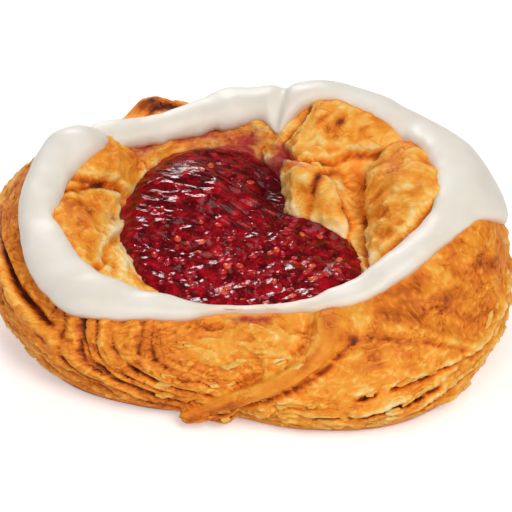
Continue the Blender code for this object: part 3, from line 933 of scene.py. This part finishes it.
def jam_surface(x, y, share, angle):
    """The jam's height at these places; share climbs from 0 at its edge to 1 in its middle."""
    edge_z = around(STATIONS, "foot_z", angle) - SINK
    z = edge_z + (JAM_MIDDLE_Z - edge_z) * smooth_step(share) + 0.5 * smooth_step(share * 12)
    place = np.stack([x, y, 0 * x], axis=-1)
    cos, sin = math.cos(JAM_GRAIN), math.sin(JAM_GRAIN)
    along = np.stack([x * cos + y * sin, y * cos - x * sin, 0 * x], axis=-1)
    ripples = 0.42 * ridged(along * (0.4, 1.1, 1.0), 3.0, 2, 24) * smooth_step(0.5 + (y - x * 0.4 + 2) / 14)
    clots = 0.7 * fractal(place, 4.2, 2, 26) * smooth_step(0.5 - (y - x * 0.3 - 4) / 14)
    lumps = 0.7 * fractal(place, 8.0, 2, 23) + 0.05 * fractal(place, 1.2, 2, 25)
    calm = 1 - SHEEN.amount * oval(x, y, SHEEN)
    shape = sum(mark.amount * oval(x, y, mark) for mark in (HEAP, GROOVE))
    return z + smooth_step(share * 8) * (shape + (lumps + ripples) * calm + clots)


def noise_round(angle, lobes, seed):
    """Noise that goes once round the pastry and meets itself, with about this many lobes in a sixth turn."""
    ring = np.stack([np.cos(np.radians(angle)), np.sin(np.radians(angle)), 0 * angle], axis=-1)
    return fractal(ring * lobes, 1.0, 2, seed)


def make_jam(material):
    rows = JAM_ROWS_UNDER + JAM_ROWS_OVER
    angle = (np.arange(JAM_COLUMNS) * 360.0 / JAM_COLUMNS)[None, :]
    at = np.arange(rows + 1)[:, None]
    reach = around(STATIONS, "foot", angle) + 0.6
    reach = reach + 1.3 * noise_round(angle, 2.5, 21) + 0.7 * noise_round(angle, 9.0, 22)
    share = np.clip((at - JAM_ROWS_UNDER) / JAM_ROWS_OVER, 0.0, 1.0)
    sunk = np.clip((JAM_ROWS_UNDER - at) / JAM_ROWS_UNDER, 0.0, 1.0)
    r = reach * (1.0 - share) * np.sqrt(1.0 - sunk)
    x, y = r * np.cos(np.radians(angle)), r * np.sin(np.radians(angle))
    z = jam_surface(x, y, share, angle) - JAM_SUNK * sunk
    z[0], z[-1] = z[0].mean(), z[-1].mean()
    thin = 0.75 * (1.0 - smooth_step(share * 14)) * smooth_step(0.5 + y / 12)
    # Darker in the groove beside the right-hand lump: painted shade.
    marks = {"groove_shade": 0.9 * oval(x, y, GROOVE), "thin": thin}
    jam = wrapped("raspberry_jam", np.stack([x, y, z], axis=-1), marks, material)
    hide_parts("jam")


# ---- what lies in the jam ---------------------------------------------------------------------------------

SEEDS, DROPS = 110, 60


def add_drop(bm, layer, x, y, size, turn, sink, tint, pointed, facets):
    """A seed or a drop of pulp half sunk in the jam: a ball drawn out and narrowed towards one end."""
    angle = math.degrees(math.atan2(y, x)) * np.ones((1, 1))
    r = math.hypot(x, y)
    foot = around(STATIONS, "foot", angle)
    z = jam_surface(x * np.ones((1, 1)), y * np.ones((1, 1)), 1 - r / foot, angle)[0, 0]
    for vert in bmesh.ops.create_uvsphere(bm, u_segments=facets, v_segments=6, radius=1.0)["verts"]:
        along, across, up = vert.co.z, vert.co.x, vert.co.y
        narrow = 1.0 - pointed * along
        flat = np.array([along * size[0], across * size[1] * narrow])
        point = (
            x + flat[0] * math.cos(turn) - flat[1] * math.sin(turn),
            y + flat[0] * math.sin(turn) + flat[1] * math.cos(turn),
            z + up * size[2] * narrow - sink,
        )
        vert.co = to_metres(np.array(point))
        vert[layer] = tint


def in_the_jam(chance, margin):
    """A place on the jam, more likely in front and at the right, where the fruit has gathered."""
    while True:
        x, y = chance.uniform(-28, 24), chance.uniform(-25, 27)
        angle = math.degrees(math.atan2(y, x))
        if math.hypot(x, y) > float(around(STATIONS, "foot", np.array([angle]))[0]) - margin:
            continue
        if chance.uniform() < 0.12 + 0.88 * float(smooth_step(0.5 - (y - 0.5 * x - 2) / 16)):
            return x, y


def make_seeds(material):
    chance = np.random.default_rng(11)
    bm = bmesh.new()
    layer = bm.verts.layers.float.new("tint")
    for _ in range(SEEDS):
        x, y = in_the_jam(chance, 1.8)
        scale = chance.uniform(0.7, 1.1)
        add_drop(
            bm, layer, x, y, (1.15 * scale, 0.75 * scale, 0.5 * scale), chance.uniform(0, math.tau),
            chance.uniform(0.0, 0.36), chance.uniform(0.1, 1.0), 0.35, 8
        )
    finished("raspberry_seeds", bm, material)


def make_pulp(material):
    chance = np.random.default_rng(12)
    bm = bmesh.new()
    layer = bm.verts.layers.float.new("thin")
    for _ in range(DROPS):
        x, y = in_the_jam(chance, 2.5)
        scale = chance.uniform(0.5, 1.2)
        add_drop(
            bm, layer, x, y, (1.7 * scale, 1.2 * scale, 0.7 * scale), chance.uniform(0, math.tau),
            chance.uniform(0.25, 0.6), chance.uniform(0.0, 0.55), 0.1, 10
        )
    finished("raspberry_pulp", bm, material)


# ---- the icing --------------------------------------------------------------------------------------------

ICING_COLUMNS = 720
ICING_ROWS = 64
# Where the icing was poured thicker or thinner: angle, half angle, and the change of its thickness in mm.
POURS = (
    (157, 7, 1.5), (147, 3, -1.3), (-141, 8, 1.2), (-124, 7, 0.8), (-174, 5, -0.7),
    (80, 2.6, -1.2), (66, 9, 0.7), (98, 8, 0.6), (18, 9, 0.8), (-12, 5, -0.5),
    (40, 6, -0.5), (-35, 6, 0.4), (-60, 4, 0.3), (-160, 6, 0.5),
)
ICING_SINK = 0.3  # how deep the icing lies in the dough


def make_icing(material):
    angle = np.arange(ICING_COLUMNS) * 360.0 / ICING_COLUMNS
    outside, inside = [
        around(RIBBON, side, angle) + drip(angle, drips)
        + 0.7 * noise_round(angle, 3.5, seed) + 0.4 * noise_round(angle, 8.0, seed + 1)
        for side, drips, seed in (("outside", DRIPS_OUTSIDE, 31), ("inside", DRIPS_INSIDE, 33))
    ]
    thick = around(RIBBON, "thick", angle) * (1 + 0.12 * noise_round(angle, 4.0, 35))
    thick += drip(angle, POURS)

    # The lie of the dough across the rim, from well outside the ribbon to well inside it.
    keys = np.linspace(BELLY - 0.2, FOOT, 120)
    lie = dough_surface(angle, keys)
    out = grid_normals(lie)
    out[0], out[-1] = out[1], out[-2]
    out = np.stack([soften(out[..., axis], 90) for axis in range(3)], axis=-1)
    length = np.cumsum(np.linalg.norm(np.diff(lie, axis=0, prepend=lie[:1]), axis=-1), axis=0)
    length -= length[np.argmin(np.abs(keys - CREST))]

    section = np.arange(ICING_ROWS + 1)[:, None] * math.tau / ICING_ROWS
    across = -np.cos(section)
    wanted = np.where(across > 0, inside, outside) * across
    columns = [
        [np.interp(wanted[:, at], length[:, at], values[:, at, axis]) for values in (lie, out) for axis in range(3)]
        for at in range(ICING_COLUMNS)
    ]
    columns = np.array(columns).transpose(2, 0, 1)
    over = np.sin(section) > 0
    dome = (1.0 - np.abs(across) ** 3.6) ** 0.5
    height = np.where(over, dome * thick * 0.9, -ICING_SINK * dome) - ICING_SINK
    points = columns[..., :3] + columns[..., 3:] * height[..., None]
    points[-1] = points[0]
    points[..., 2] += 0.35 * fractal(points, 8.0, 2, 36) * np.where(over, dome, 0.0)
    # Marks the thin edges and the thin front: partly the crust showing through, partly painted shade.
    thin = 0.8 * np.where(over, smooth_step((np.abs(across) - 0.93) / 0.07), 1.0)
    thin = thin + 0.22 * between(angle, -106, -68, 8)
    icing = wrapped("icing_ribbon", points, {"thin": thin}, material)
    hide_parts("icing")


# ---- light, floor and camera ------------------------------------------------------------------------------

TARGET = Vector((-CENTRE[0], -CENTRE[1], 11.6)) * MM
CAMERA_DISTANCE = 0.52
CAMERA_RISE = math.radians(36)
FRAME_WIDTH = 0.1104  # how much of the scene the frame takes in at the target


SENSOR_WIDTH = 36.0
FLOOR_HALF = 6.0  # in metres
FLOOR_GLOW = 0.36
WORLD_STRENGTH = 0.14

# Round lamps that look at the pastry. The azimuth is 0 in front; sizes and distances are in metres.
Lamp = namedtuple("Lamp", "name azimuth rise distance size power colour")
LAMPS = (
    Lamp("key", 38, 47, 0.9, 0.5, 4.3, "#FFFAF2"),
    Lamp("fill_left", -50, 36, 0.9, 0.7, 1.7, "#FFFFFF"),
    Lamp("overhead", 20, 78, 0.9, 0.5, 1.2, "#FFFFFF"),
    Lamp("back", -168, 27, 0.8, 0.26, 2.4, "#FFFFFF"),
)


def add_light(lamp):
    data = bpy.data.lights.new(lamp.name, "AREA")
    data.shape = "DISK"
    data.size = lamp.size
    data.energy = lamp.power
    data.color = linear(lamp.colour)[:3]
    light = bpy.data.objects.new(lamp.name, data)
    a, e = math.radians(lamp.azimuth), math.radians(lamp.rise)
    way = Vector((math.sin(a) * math.cos(e), -math.cos(a) * math.cos(e), math.sin(e)))
    light.location = TARGET + lamp.distance * way
    light.rotation_euler = (TARGET - light.location).to_track_quat("-Z", "Y").to_euler()
    bpy.context.scene.collection.objects.link(light)


def make_floor():
    """A wide white table that glows a little where it is looked at, so that it stays white far from the lamps."""
    bm = bmesh.new()
    bmesh.ops.create_grid(bm, x_segments=1, y_segments=1, size=FLOOR_HALF)
    mesh = bpy.data.meshes.new("floor")
    bm.to_mesh(mesh)
    bm.free()
    floor = bpy.data.objects.new("floor", mesh)
    bpy.context.scene.collection.objects.link(floor)
    material, tree, shader = new_material("white_table", {
        "Base Color": "#F4F4F4",
        "Roughness": 0.9,
        "Specular IOR Level": 0.1,
        "Emission Color": "#FFFFFF",
    })
    path = add(tree, "LightPath").outputs
    seen = path["Is Camera Ray"]
    for ray in ("Is Glossy Ray", "Is Transmission Ray"):
        seen = add(tree, "Math", {0: seen, 1: path[ray]}, operation="MAXIMUM").outputs[0]
    glow = add(tree, "Math", {0: seen, 1: FLOOR_GLOW}, operation="MULTIPLY").outputs[0]
    tree.links.new(glow, shader.inputs["Emission Strength"])
    mesh.materials.append(material)


def make_world():
    world = bpy.data.worlds.new("studio")
    bpy.context.scene.world = world
    world.use_nodes = True
    background = world.node_tree.nodes["Background"]
    background.inputs["Color"].default_value = (1, 1, 1, 1)
    background.inputs["Strength"].default_value = WORLD_STRENGTH


def make_camera():
    camera = bpy.data.objects.new("camera", bpy.data.cameras.new("camera"))
    bpy.context.scene.collection.objects.link(camera)
    way = Vector((0.0, -math.cos(CAMERA_RISE), math.sin(CAMERA_RISE)))
    camera.location = TARGET + CAMERA_DISTANCE * way
    camera.rotation_euler = (math.pi / 2 - CAMERA_RISE, 0.0, 0.0)
    camera.data.sensor_width = SENSOR_WIDTH
    camera.data.lens = SENSOR_WIDTH * CAMERA_DISTANCE / FRAME_WIDTH
    camera.data.clip_start = 0.05
    bpy.context.scene.camera = camera


# ---- the whole --------------------------------------------------------------------------------------------

crust, jam = crust_material(), jam_material()
make_flakes(crust, *make_dough(crust))
make_jam(jam)
make_pulp(jam)
make_seeds(seed_material())
make_icing(icing_material())
make_floor()
make_world()
make_camera()
for lamp in LAMPS:
    add_light(lamp)
bpy.context.scene.view_settings.view_transform = "Standard"
